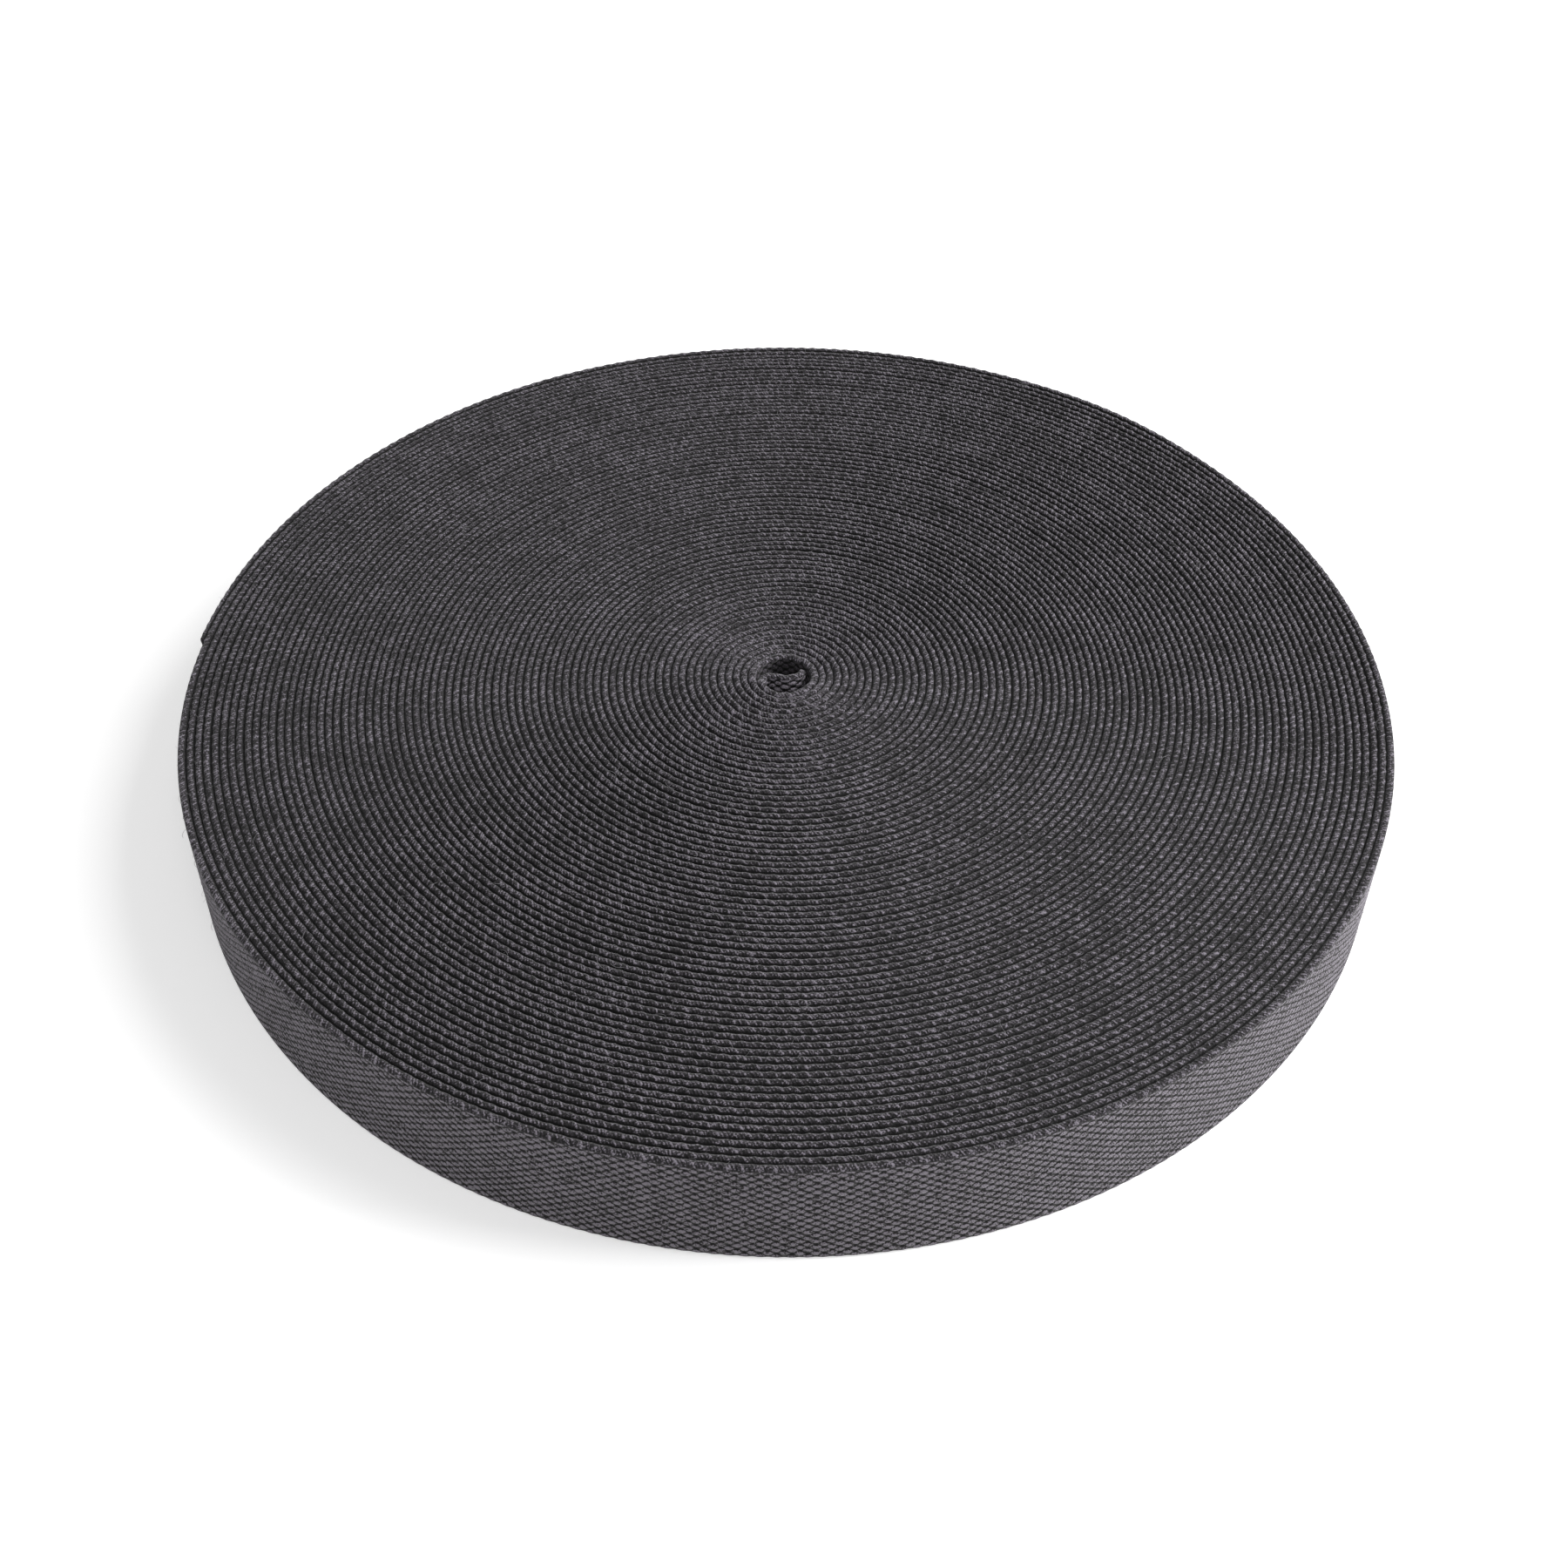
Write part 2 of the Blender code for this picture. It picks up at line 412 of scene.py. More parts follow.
@dataclass(frozen=True)
class TurnEdgeFinish:
    """The tape's selvedge, where the weft loops round the outermost warp at every pick.

    The loops lean along the tape, every second one stands out, and each shows its plies. Light sinks
    between them, so this side of the cotton looks darker than its face: the colour follows the loops'
    relief, with painted shade between them and painted highlight on them, the stand-out loops'
    painted highlight strongest on the outer side of each edge. The flanks of each edge carry painted
    shade of the grooves between turns, lighter near the eye.
    """

    tape: Tape = Tape()
    yarn: CottonYarn = CottonYarn(dark="100f10", light="302d31", bright_and_highlight="76717a", sheen=0.15)
    slant: float = -2.4
    wander: float = 4.0
    wander_scale: float = 240.0
    middle_tone: float = 0.58
    loop_tone: float = 0.10
    float_tone: float = 0.22
    ply_tone: float = 0.12
    # How much the stand-out loops' painted highlight favours the outer side of the edge.
    outer_highlight_share: float = 0.7
    # Painted shade of the grooves between turns: how dark the flanks get, away from the eye and near it.
    groove_painted_shade: float = 0.10
    tight_groove_painted_shade: float = 0.75
    tight_radius: float = 0.014
    loose_radius: float = 0.060
    bump_mm: float = 0.40

    def build(self) -> bpy.types.Material:
        """Make the material of the turns' edges."""
        material = bpy.data.materials.new("cotton_selvedge_weft_loops")
        material.use_nodes = True
        tree = material.node_tree
        tree.nodes.clear()
        along = add_node(tree, "ShaderNodeAttribute", {"attribute_name": "along"}).outputs["Fac"]
        side = add_node(tree, "ShaderNodeAttribute", {"attribute_name": "side"}).outputs["Fac"]
        signed = add_node(tree, "ShaderNodeAttribute", {"attribute_name": "edge"}).outputs["Fac"]
        edge = add_node(tree, "ShaderNodeMath", {"operation": "ABSOLUTE"}, {0: signed})
        place = add_node(tree, "ShaderNodeTexCoord").outputs["Object"]
        wander = add_node(tree, "ShaderNodeTexNoise", {"noise_dimensions": "3D"}, {
            "Vector": place, "Scale": self.wander_scale, "Detail": 0.0})
        turn = add_node(tree, "ShaderNodeMath", {"operation": "MULTIPLY"}, {
            0: along, 1: math.tau / self.tape.pick_spacing})
        uneven = add_node(tree, "ShaderNodeMath", {"operation": "MULTIPLY_ADD"}, {
            0: wander, 1: self.wander, 2: turn})
        slanted = add_node(tree, "ShaderNodeMath", {"operation": "MULTIPLY_ADD"}, {
            0: side, 1: self.slant, 2: uneven})
        # Painted highlight of the stand-out loops: full on the outer side of the edge, weaker and turned round
        # on the inner side.
        outwards = add_node(tree, "ShaderNodeMath", {"operation": "MULTIPLY_ADD"}, {
            0: side, 1: self.outer_highlight_share, 2: 1.0 - self.outer_highlight_share})
        tone = add_node(tree, "ShaderNodeValue")
        tone.outputs[0].default_value = self.middle_tone
        for repeats, share, across in (
            (1.0, self.loop_tone, None), (0.5, self.float_tone, outwards), (2.0, self.ply_tone, None),
        ):
            angle = add_node(tree, "ShaderNodeMath", {"operation": "MULTIPLY"}, {0: slanted, 1: repeats})
            swell = add_node(tree, "ShaderNodeMath", {"operation": "COSINE"}, {0: angle})
            if across:
                swell = add_node(tree, "ShaderNodeMath", {"operation": "MULTIPLY"}, {0: swell, 1: across})
            tone = add_node(tree, "ShaderNodeMath", {"operation": "MULTIPLY_ADD"}, {
                0: swell, 1: share, 2: tone})
        # Painted shade of the grooves between turns: the flanks of each edge darken towards the groove, less
        # near the eye.
        spot = add_node(tree, "ShaderNodeSeparateXYZ", {}, {"Vector": place})
        level = add_node(tree, "ShaderNodeCombineXYZ", {}, {"X": spot.outputs["X"], "Y": spot.outputs["Y"]})
        radius = add_node(tree, "ShaderNodeVectorMath", {"operation": "LENGTH"}, {0: level})
        groove_shade = add_node(tree, "ShaderNodeMapRange", {"interpolation_type": "SMOOTHSTEP"}, {
            "Value": radius.outputs["Value"], "From Min": self.tight_radius, "From Max": self.loose_radius,
            "To Min": self.tight_groove_painted_shade, "To Max": self.groove_painted_shade})
        flank_shade = add_node(tree, "ShaderNodeMapRange", {"interpolation_type": "SMOOTHSTEP"}, {
            "Value": edge, "From Min": 0.55, "From Max": 0.98, "To Min": groove_shade, "To Max": 1.0})
        height = add_node(tree, "ShaderNodeMath", {"operation": "MULTIPLY"}, {0: tone, 1: flank_shade})
        self.yarn.shader(tree, height.outputs[0], place, self.bump_mm)
        return material


@dataclass(frozen=True)
class TapeFaceFinish:
    """The tape's face: warp cords of a plain weave, humped over every second pick."""

    name: str = "cotton_plain_weave_face"
    tape: Tape = Tape()
    yarn: CottonYarn = CottonYarn()
    hump_length: float = 3.1 * MILLIMETRE
    hump_width: float = 2.0 * MILLIMETRE
    wander_scale: float = 260.0
    wander_along: float = 0.9 * MILLIMETRE
    wander_up: float = 0.4 * MILLIMETRE
    ply_spacing: float = 0.62 * MILLIMETRE
    ply_rise: float = 1.1 * MILLIMETRE
    ply_tone: float = 0.13
    bump_mm: float = 0.40

    def humps(self, tree: bpy.types.NodeTree, along: bpy.types.NodeSocket,
              up: bpy.types.NodeSocket, shift: float) -> bpy.types.Node:
        """Height of every second column of humps.

        Args:
            tree: the material's tree.
            along: length along the tape.
            up: height up the tape.
            shift: 0 or 0.5, in repeats along and up.

        Returns:
            A node with 1 on a hump's crown, falling off around it.
        """
        total = None
        for place, repeat, size in (
            (along, self.tape.float_spacing, self.hump_length),
            (up, 2.0 * self.tape.warp_spacing, self.hump_width),
        ):
            repeats = add_node(tree, "ShaderNodeMath", {"operation": "MULTIPLY_ADD"}, {
                0: place, 1: 1.0 / repeat, 2: shift})
            part = add_node(tree, "ShaderNodeMath", {"operation": "FRACT"}, {0: repeats})
            off = add_node(tree, "ShaderNodeMath", {"operation": "SUBTRACT"}, {0: part, 1: 0.5})
            reach = add_node(tree, "ShaderNodeMath", {"operation": "MULTIPLY"}, {0: off, 1: 2.0 * repeat / size})
            square = add_node(tree, "ShaderNodeMath", {"operation": "MULTIPLY"}, {0: reach, 1: reach})
            if total is None:
                total = square
            else:
                total = add_node(tree, "ShaderNodeMath", {"operation": "ADD"}, {0: total, 1: square})
        return add_node(tree, "ShaderNodeMath", {"operation": "SUBTRACT"}, {0: 1.0, 1: total})

    def build(self) -> bpy.types.Material:
        """Make the material of the tape's faces."""
        material = bpy.data.materials.new(self.name)
        material.use_nodes = True
        tree = material.node_tree
        tree.nodes.clear()
        along = add_node(tree, "ShaderNodeAttribute", {"attribute_name": "along"}).outputs["Fac"]
        up = add_node(tree, "ShaderNodeAttribute", {"attribute_name": "up"}).outputs["Fac"]
        place = add_node(tree, "ShaderNodeTexCoord").outputs["Object"]
        wander = add_node(tree, "ShaderNodeTexNoise", {"noise_dimensions": "3D"}, {
            "Vector": place, "Scale": self.wander_scale, "Detail": 0.0})
        shift = add_node(tree, "ShaderNodeMath", {"operation": "SUBTRACT"}, {0: wander, 1: 0.5})
        along = add_node(tree, "ShaderNodeMath", {"operation": "MULTIPLY_ADD"}, {
            0: shift, 1: self.wander_along, 2: along}).outputs[0]
        up = add_node(tree, "ShaderNodeMath", {"operation": "MULTIPLY_ADD"}, {
            0: shift, 1: self.wander_up, 2: up}).outputs[0]
        first = self.humps(tree, along, up, 0.0)
        second = self.humps(tree, along, up, 0.5)
        union = add_node(tree, "ShaderNodeMath", {"operation": "SMOOTH_MAX"}, {0: first, 1: second, 2: 0.1})
        # The humps' height also sets the colour: painted shade between the humps, painted highlight on their
        # crowns.
        height = add_node(tree, "ShaderNodeMapRange", {"interpolation_type": "SMOOTHSTEP"}, {
            "Value": union, "From Min": -0.20, "From Max": 0.90, "To Min": 0.05, "To Max": 1.0})
        first_turn = add_node(tree, "ShaderNodeMath", {"operation": "MULTIPLY"}, {
            0: along, 1: math.tau / self.ply_spacing})
        turn = add_node(tree, "ShaderNodeMath", {"operation": "MULTIPLY_ADD"}, {
            0: up, 1: math.tau / self.ply_rise, 2: first_turn})
        ply = add_node(tree, "ShaderNodeMath", {"operation": "COSINE"}, {0: turn})
        plied = add_node(tree, "ShaderNodeMath", {"operation": "MULTIPLY_ADD"}, {
            0: ply, 1: self.ply_tone, 2: 1.0})
        twisted = add_node(tree, "ShaderNodeMath", {"operation": "MULTIPLY"}, {0: height, 1: plied})
        self.yarn.shader(tree, twisted.outputs[0], place, self.bump_mm)
        return material


@dataclass(frozen=True)
class LooseFibreFinish:
    """Single cotton hairs that stand off the yarn and catch the light."""

    colour: str = "8a888c"
    roughness: float = 0.7

    def build(self) -> bpy.types.Material:
        """Make the material of the loose fibres."""
        material = bpy.data.materials.new("cotton_loose_fibre")
        material.use_nodes = True
        tree = material.node_tree
        tree.nodes.clear()
        place = add_node(tree, "ShaderNodeTexCoord").outputs["Object"]
        patches = add_node(tree, "ShaderNodeTexNoise", {}, {"Vector": place, "Scale": 160.0})
        tone = add_node(tree, "ShaderNodeMixRGB", {}, {
            "Fac": patches, "Color1": to_linear("2e2d30"), "Color2": to_linear(self.colour)})
        hair = add_node(tree, "ShaderNodeBsdfPrincipled", {}, {
            "Base Color": tone, "Roughness": self.roughness, "Sheen Weight": 0.2})
        add_node(tree, "ShaderNodeOutputMaterial", {}, {"Surface": hair})
        return material


def finish_piece(item: bpy.types.Object, node: str | None) -> None:
    """Ride a piece on the roll, hide the CAD node that it stands for, and log its triangles.

    Args:
        item: the piece.
        node: the CAD node that it replaces, or None.
    """
    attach(item, BODY)
    if node:
        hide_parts(node)
    item.data.calc_loop_triangles()
    LOG.info("%s: %d triangles", item.name, len(item.data.loop_triangles))


def mesh_object(name: str, points: np.ndarray, faces: list, materials: list) -> bpy.types.Object:
    """Make a smooth mesh object from points and faces."""
    mesh = bpy.data.meshes.new(name)
    mesh.from_pydata(points.tolist(), [], faces)
    for material in materials:
        mesh.materials.append(material)
    mesh.shade_smooth()
    item = bpy.data.objects.new(name, mesh)
    bpy.context.scene.collection.objects.link(item)
    return item


@dataclass
class SweptTurns:
    """The wound turns inside the outermost one, swept along the spiral by Geometry Nodes."""

    winding: Winding
    axis: np.ndarray
    finish: bpy.types.Material
    first_length: float
    last_length: float
    bands: int = 4
    side_power: float = 1.0
    edge_power: float = 0.55
    section_points: int = 8
    least_crest: float = 0.45
    seed: int = 11

    def path(self, name: str, along: np.ndarray) -> bpy.types.Object:
        """Make the path that one band's tape is swept along.

        Args:
            name: name of the band.
            along: lengths along the tape, half a pick apart.

        Returns:
            A mesh of edges with the tape's sizes as attributes of its points.
        """
        line = spiral_line(self.winding, self.axis, along)
        points = np.column_stack([line.points, np.zeros(len(along))])
        mesh = bpy.data.meshes.new(name)
        edges = [(index, index + 1) for index in range(len(along) - 1)]
        mesh.from_pydata(points.tolist(), edges, [])
        picks = np.round(along / (0.5 * self.winding.tape.pick_spacing)).astype(int)
        chance = np.random.default_rng(self.seed).uniform(self.least_crest, 1.0, picks.max() + 1)
        beat = self.winding.tape.pick_rise * np.cos(math.pi * picks) * chance[picks]
        values = {
            "along": line.along, "upper_edge": line.upper + beat, "lower_edge": line.lower,
            "crest": np.cos(0.5 * math.pi * picks) * chance[picks], "half_thickness": 0.5 * line.thickness,
        }
        for key, value in values.items():
            made = mesh.attributes.new(key, "FLOAT", "POINT")
            made.data.foreach_set("value", np.asarray(value, np.float32))
        level = np.column_stack([line.outward, np.zeros(len(along))])
        outward = mesh.attributes.new("outward", "FLOAT_VECTOR", "POINT")
        outward.data.foreach_set("vector", level.astype(np.float32).ravel())
        item = bpy.data.objects.new(name, mesh)
        bpy.context.scene.collection.objects.link(item)
        return item

    def tree(self) -> bpy.types.NodeTree:
        """Build the tree that sweeps the tape's section along a path."""
        tree = bpy.data.node_groups.new("sweep_tape", "GeometryNodeTree")
        ports = tree.interface
        ports.new_socket("Path", in_out="INPUT", socket_type="NodeSocketGeometry")
        ports.new_socket("Edge depth", in_out="INPUT", socket_type="NodeSocketFloat")
        ports.new_socket("Loop height", in_out="INPUT", socket_type="NodeSocketFloat")
        ports.new_socket("Loop swing", in_out="INPUT", socket_type="NodeSocketFloat")
        ports.new_socket("Side power", in_out="INPUT", socket_type="NodeSocketFloat")
        ports.new_socket("Edge power", in_out="INPUT", socket_type="NodeSocketFloat")
        ports.new_socket("Section points", in_out="INPUT", socket_type="NodeSocketInt")
        ports.new_socket("Finish", in_out="INPUT", socket_type="NodeSocketMaterial")
        ports.new_socket("Tape", in_out="OUTPUT", socket_type="NodeSocketGeometry")
        given = add_node(tree, "NodeGroupInput")
        curve = add_node(tree, "GeometryNodeMeshToCurve", {}, {"Mesh": given.outputs["Path"]})
        upright = add_node(tree, "GeometryNodeSetCurveNormal", {"mode": "Z_UP"}, {"Curve": curve})
        ring = add_node(tree, "GeometryNodeCurvePrimitiveCircle", {"mode": "RADIUS"}, {
            "Resolution": given.outputs["Section points"], "Radius": 1.0})
        spot = add_node(tree, "ShaderNodeSeparateXYZ", {}, {
            "Vector": add_node(tree, "GeometryNodeInputPosition")})
        squared = {}
        for axis, exponent in (("X", "Side power"), ("Y", "Edge power")):
            size = add_node(tree, "ShaderNodeMath", {"operation": "ABSOLUTE"}, {0: spot.outputs[axis]})
            power = add_node(tree, "ShaderNodeMath", {"operation": "POWER"}, {
                0: size, 1: given.outputs[exponent]})
            way = add_node(tree, "ShaderNodeMath", {"operation": "SIGN"}, {0: spot.outputs[axis]})
            squared[axis] = add_node(tree, "ShaderNodeMath", {"operation": "MULTIPLY"}, {0: power, 1: way})
        sided = add_node(tree, "GeometryNodeStoreNamedAttribute", {"data_type": "FLOAT"}, {
            "Geometry": ring, "Name": "side", "Value": squared["X"]})
        edged = add_node(tree, "GeometryNodeStoreNamedAttribute", {"data_type": "FLOAT"}, {
            "Geometry": sided, "Name": "edge", "Value": squared["Y"]})
        nowhere = add_node(tree, "FunctionNodeInputVector", {"vector": (0.0, 0.0, 0.0)})
        flat = add_node(tree, "GeometryNodeSetPosition", {}, {"Geometry": edged, "Position": nowhere})
        swept = add_node(tree, "GeometryNodeCurveToMesh", {}, {
            "Curve": upright, "Profile Curve": flat, "Fill Caps": True})
        read = {
            name: add_node(tree, "GeometryNodeInputNamedAttribute", {"data_type": "FLOAT"}, {
                "Name": name}).outputs["Attribute"]
            for name in ("side", "edge", "upper_edge", "lower_edge", "crest", "half_thickness")
        }
        self.place_section(tree, given, swept, read)
        return tree

    def place_section(self, tree: bpy.types.NodeTree, given: bpy.types.Node,
                      swept: bpy.types.Node, read: dict) -> None:
        """Spread each swept section out to the tape's thickness and edges, and finish the tree.

        Args:
            tree: the tree.
            given: its input node.
            swept: the collapsed sweep, whose points still lie on the path.
            read: sockets of the attributes that the section and the path carry.
        """
        outward = add_node(tree, "GeometryNodeInputNamedAttribute", {"data_type": "FLOAT_VECTOR"}, {
            "Name": "outward"}).outputs["Attribute"]
        turned = add_node(tree, "ShaderNodeMath", {"operation": "MULTIPLY"}, {
            0: read["crest"], 1: read["edge"]})
        swing = add_node(tree, "ShaderNodeMath", {"operation": "MULTIPLY"}, {
            0: turned, 1: given.outputs["Loop swing"]})
        reach = add_node(tree, "ShaderNodeMath", {"operation": "MULTIPLY_ADD"}, {
            0: read["side"], 1: read["half_thickness"], 2: swing})
        aside = add_node(tree, "ShaderNodeVectorMath", {"operation": "SCALE"}, {
            0: outward, "Scale": reach})
        tilt = add_node(tree, "ShaderNodeMath", {"operation": "MULTIPLY"}, {0: turned, 1: read["side"]})
        drop = add_node(tree, "ShaderNodeMath", {"operation": "MULTIPLY"}, {
            0: read["edge"], 1: given.outputs["Edge depth"]})
        rise = add_node(tree, "ShaderNodeMath", {"operation": "MULTIPLY_ADD"}, {
            0: tilt, 1: given.outputs["Loop height"], 2: drop})
        shoulder_high = add_node(tree, "ShaderNodeMath", {"operation": "SUBTRACT"}, {
            0: read["upper_edge"], 1: given.outputs["Edge depth"]})
        shoulder_low = add_node(tree, "ShaderNodeMath", {"operation": "ADD"}, {
            0: read["lower_edge"], 1: given.outputs["Edge depth"]})
        is_upper = add_node(tree, "FunctionNodeCompare", {"data_type": "FLOAT", "operation": "GREATER_THAN"}, {
            0: read["edge"], 1: -0.01})
        shoulder = add_node(tree, "GeometryNodeSwitch", {"input_type": "FLOAT"}, {
            "Switch": is_upper, "False": shoulder_low, "True": shoulder_high})
        height = add_node(tree, "ShaderNodeMath", {"operation": "ADD"}, {0: shoulder, 1: rise})
        lift = add_node(tree, "ShaderNodeCombineXYZ", {}, {"Z": height})
        offset = add_node(tree, "ShaderNodeVectorMath", {"operation": "ADD"}, {0: aside, 1: lift})
        placed = add_node(tree, "GeometryNodeSetPosition", {}, {"Geometry": swept, "Offset": offset})
        outside = add_node(tree, "GeometryNodeFlipFaces", {}, {"Mesh": placed})
        smooth = add_node(tree, "GeometryNodeSetShadeSmooth", {}, {"Geometry": outside})
        real = add_node(tree, "GeometryNodeRealizeInstances", {}, {"Geometry": smooth})
        dressed = add_node(tree, "GeometryNodeSetMaterial", {}, {
            "Geometry": real, "Material": given.outputs["Finish"]})
        add_node(tree, "NodeGroupOutput", {}, {"Tape": dressed})

    def build(self) -> list[bpy.types.Object]:
        """Sweep the tape band by band.

        Returns:
            One piece for each band.
        """
        tape = self.winding.tape
        tree = self.tree()
        half_pick = 0.5 * tape.pick_spacing
        first = math.ceil(self.first_length / half_pick)
        last = math.ceil(self.last_length / half_pick)
        limits = np.linspace(first, last, self.bands + 1).round().astype(int)
        pieces = []
        for number in range(self.bands):
            along = half_pick * np.arange(limits[number], limits[number + 1] + 1)
            if number == 0:
                along[0] = self.first_length
            if number == self.bands - 1:
                along[-1] = self.last_length
            path = self.path(f"turns_band_{number + 1}_path", along)
            values = {
                "Edge depth": tape.edge_depth, "Loop height": tape.loop_height,
                "Loop swing": tape.loop_swing, "Side power": self.side_power, "Edge power": self.edge_power,
                "Section points": self.section_points, "Finish": self.finish,
            }
            pieces.append(run_tree(path, tree, values, f"turns_band_{number + 1}"))
        return pieces


def run_tree(base: bpy.types.Object, tree: bpy.types.NodeTree, values: dict, name: str) -> bpy.types.Object:
    """Evaluate a Geometry Nodes tree on an object and keep the result as a plain mesh.

    Args:
        base: the object that the tree starts from, which is removed.
        tree: the tree.
        values: value of each named input.
        name: name of the new piece.

    Returns:
        The new piece.
    """
    modifier = base.modifiers.new("shape", "NODES")
    modifier.node_group = tree
    for item in tree.interface.items_tree:
        if item.item_type == "SOCKET" and item.in_out == "INPUT" and item.name in values:
            modifier[item.identifier] = values[item.name]
    depsgraph = bpy.context.evaluated_depsgraph_get()
    mesh = bpy.data.meshes.new_from_object(base.evaluated_get(depsgraph), depsgraph=depsgraph)
    mesh.name = name
    piece = bpy.data.objects.new(name, mesh)
    bpy.context.scene.collection.objects.link(piece)
    bpy.data.objects.remove(base, do_unlink=True)
    return piece


def hump_height(tape: Tape, finish: TapeFaceFinish, along: np.ndarray, up: np.ndarray) -> np.ndarray:
    """Height of the woven warp over the gaps between its cords.

    Args:
        tape: the webbing.
        finish: the finish that shades the same humps.
        along: lengths along the tape.
        up: heights up the tape.

    Returns:
        0 in the gaps to 1 on a hump's crown.
    """
    heights = []
    for shift in (0.0, 0.5):
        total = np.zeros(np.broadcast(along, up).shape)
        for place, repeat, size in (
            (along, tape.float_spacing, finish.hump_length),
            (up, 2.0 * tape.warp_spacing, finish.hump_width),
        ):
            off = np.mod(place / repeat + shift, 1.0) - 0.5
            total = total + (off * 2.0 * repeat / size) ** 2
        heights.append(1.0 - total)
    share = np.clip(np.maximum(heights[0], heights[1]) + 0.25, 0.0, 1.0)
    return share * share * (3.0 - 2.0 * share)


@dataclass
class WovenStretch:
    """A stretch of tape whose faces carry the raised warp as real relief.

    Its selvedges are rounder and shallower than those of the turns pressed inside the roll. Its
    materials are those of the selvedge, of the faces, and of the faces in the wound part where that
    is another one. At the inner end the faces are a lighter copy, painted light on the loose end, and
    the wound part's faces a darker copy, painted shade deep in the eye.
    """

    tape: Tape
    face: TapeFaceFinish
    relief: FaceRelief
    materials: list
    arc_points: int = 3
    edge_depth: float = 0.0009
    side_power: float = 0.80
    edge_power: float = 0.65
    # Least flank tone on sides with no neighbouring turn, so they get less painted groove shade.
    open_side_shade_lift: float = 0.75

    def section(self) -> tuple[np.ndarray, np.ndarray, np.ndarray]:
        """Lay out one closed section of the tape.

        Returns:
            Where each point lies across the tape, on its rounded edges and up its face. The last
            is below 0 on the rounded edges.
        """
        rows = 2 * self.tape.warp_count
        shares = np.linspace(1.0, 0.0, rows + 1)
        arc = math.pi * np.arange(1, self.arc_points + 1) / (self.arc_points + 1)
        inner = shares[::-1] if self.relief is FaceRelief.BOTH else np.array([0.0, 1.0])
        across = np.sign(np.cos(arc)) * np.abs(np.cos(arc)) ** self.side_power
        rise = np.sin(arc) ** self.edge_power
        side = np.concatenate([np.ones(rows + 1), across, -np.ones(len(inner)), -across])
        edge = np.concatenate([np.zeros(rows + 1), -rise, np.zeros(len(inner)), rise])
        no_face = -np.ones(self.arc_points)
        share = np.concatenate([shares, no_face, inner, no_face])
        return side, edge, share

    def build(self, name: str, line: Line) -> bpy.types.Object:
        """Make the piece along a line.

        Args:
            name: name of the piece.
            line: the stretch of the tape's middle line.

        Returns:
            The piece.
        """
        side, edge, share = self.section()
        count = len(side)
        tape = self.tape
        low = line.lower[:, None] + self.edge_depth
        high = line.upper[:, None] - self.edge_depth
        crest = np.cos(math.tau * line.along[:, None] / tape.float_spacing)
        depth = self.edge_depth + tape.loop_height * crest * side
        on_face = share >= 0.0
        up = np.where(on_face, share * (tape.width - 2.0 * self.edge_depth), 0.0)
        height = np.where(edge > 0.0, high + depth * edge, low + depth * edge)
        height = np.where(on_face, low + share * (high - low), height)
        along = np.broadcast_to(line.along[:, None], height.shape)
        humps = hump_height(tape, self.face, along, up)
        has_relief = on_face & ((side > 0.0) | (self.relief is FaceRelief.BOTH))
        fade = np.clip(np.minimum(share, 1.0 - share) * tape.warp_count, 0.0, 1.0)
        half = 0.5 * line.thickness[:, None]
        warp = np.minimum(tape.warp_height, 0.4 * half)
        drop = np.where(has_relief, warp * (1.0 - humps) * fade, 0.0)
        reach = np.sign(side) * (np.abs(side) * half - drop)
        level = line.points[:, None, :] + line.outward[:, None, :] * reach[:, :, None]
        points = np.concatenate([level, height[:, :, None]], axis=2).reshape(-1, 3)
        faces, slots = self.skin(line.along, count, on_face)
        piece = mesh_object(name, points, faces, self.materials)
        piece.data.polygons.foreach_set("material_index", slots)
        total = len(line.along)
        # Sides with no neighbouring turn get less of the selvedge material's painted groove shade.
        is_open = (side > 0.0) | (self.relief is FaceRelief.BOTH)
        shade = np.where(is_open, self.open_side_shade_lift + (1.0 - self.open_side_shade_lift) * np.abs(edge), np.abs(edge))
        values = {
            "along": along, "side": np.broadcast_to(side, (total, count)),
            "edge": np.broadcast_to(shade, (total, count)),
            "up": np.broadcast_to(up, (total, count)),
        }
        for key, value in values.items():
            made = piece.data.attributes.new(key, "FLOAT", "POINT")
            made.data.foreach_set("value", np.asarray(value, np.float32).ravel())
        face_outwards(piece)
        return piece

    def skin(self, along: np.ndarray, count: int, on_face: np.ndarray) -> tuple[list, list]:
        """List the faces between sections, with their material slots, and the two end caps."""
        faces = []
        slots = []
        columns = len(along)
        for column in range(columns - 1):
            # Faces at positive lengths take the last material, at the inner end the darker copy with painted
            # shade deep in the eye; the loose end's faces take the second, there the lighter copy with painted
            # light.
            face_slot = len(self.materials) - 1 if along[column] > 0.0 else 1
            start = column * count
            for index in range(count):
                after = (index + 1) % count
                faces.append((start + index, start + after, start + count + after, start + count + index))
                slots.append(face_slot if on_face[index] and on_face[after] else 0)
        faces.append(tuple(range(count)))
        faces.append(tuple((columns - 1) * count + index for index in range(count)))
        slots += [0, 0]
        return faces, slots


def face_outwards(piece: bpy.types.Object) -> None:
    """Turn the faces of a closed piece outwards."""
    shape = bmesh.new()
    shape.from_mesh(piece.data)
    bmesh.ops.recalc_face_normals(shape, faces=shape.faces)
    shape.to_mesh(piece.data)
    shape.free()


